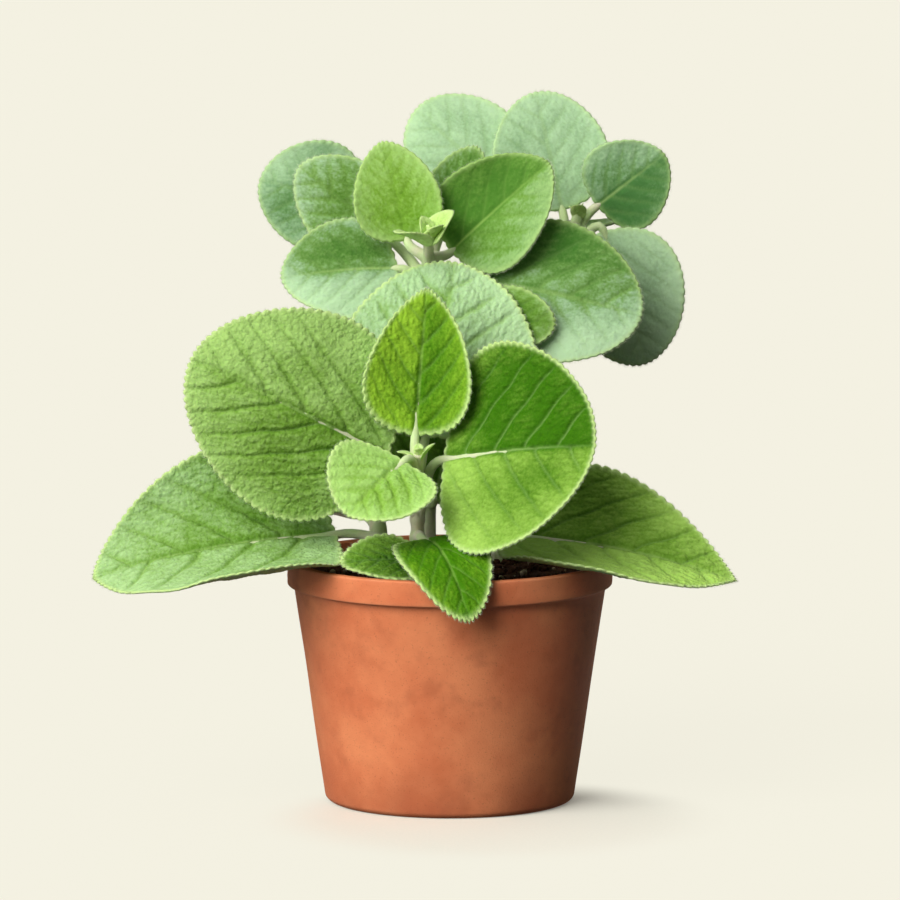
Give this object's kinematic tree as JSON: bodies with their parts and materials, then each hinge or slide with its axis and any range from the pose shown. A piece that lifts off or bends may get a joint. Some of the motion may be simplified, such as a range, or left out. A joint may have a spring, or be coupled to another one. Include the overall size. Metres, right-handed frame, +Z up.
{
  "type": "potted indian borage",
  "caption": "Indian borage herb plant with thick, round, scalloped leaves on fleshy stems, growing in soil in a plain round clay pot.",
  "frame": {"origin": "middle of the pot's foot, on the surface that it stands on", "axes": "+Z up; +Y away from the side that the plant is looked at from; +X to the right of that side"},
  "size_m": [0.2362, 0.1782, 0.2553],
  "materials": {
    "clay": "dry unglazed terracotta, slightly rough, darker in patches",
    "soil": "damp dark potting soil, crumbly, with a few pale grains",
    "stem": "fleshy pale green stem with a pink tinge and short soft hairs",
    "young_leaf": "bright green velvety young leaf with a pale margin and sunken veins",
    "grown_leaf": "grey-green velvety leaf with a pale scalloped margin and quilted veins"
  },
  "bodies": {
    "root": {"front_leaf_back": "grown_leaf", "front_leaf_left": "grown_leaf", "front_leaf_low": "young_leaf", "front_leaf_right": "grown_leaf", "front_leaf_upright": "young_leaf", "front_stem": "stem", "left_leaf_low": "grown_leaf", "left_leaf_middle": "grown_leaf", "left_leaf_outer": "grown_leaf", "left_leaf_rear": "grown_leaf", "left_leaf_upright": "grown_leaf", "left_stem": "stem", "middle_leaf_back": "grown_leaf", "middle_leaf_behind": "grown_leaf", "middle_leaf_front": "grown_leaf", "middle_leaf_inner": "grown_leaf", "middle_leaf_left": "grown_leaf", "middle_leaf_low": "grown_leaf", "middle_leaf_rear": "grown_leaf", "middle_leaf_right": "grown_leaf", "middle_leaf_tilted": "young_leaf", "middle_leaf_upright": "young_leaf", "middle_stem": "stem", "pot": "clay", "right_leaf_drooping": "grown_leaf", "right_leaf_left": "grown_leaf", "right_leaf_low": "grown_leaf", "right_leaf_middle": "grown_leaf", "right_leaf_outer": "grown_leaf", "right_leaf_rear": "grown_leaf", "right_leaf_tilted": "grown_leaf", "right_leaf_upright": "grown_leaf", "right_stem": "stem", "rim_leaf_front": "young_leaf", "rim_leaf_inner": "grown_leaf", "rim_leaf_left": "grown_leaf", "rim_leaf_right": "grown_leaf", "soil": "soil"}
  },
  "joints": []
}
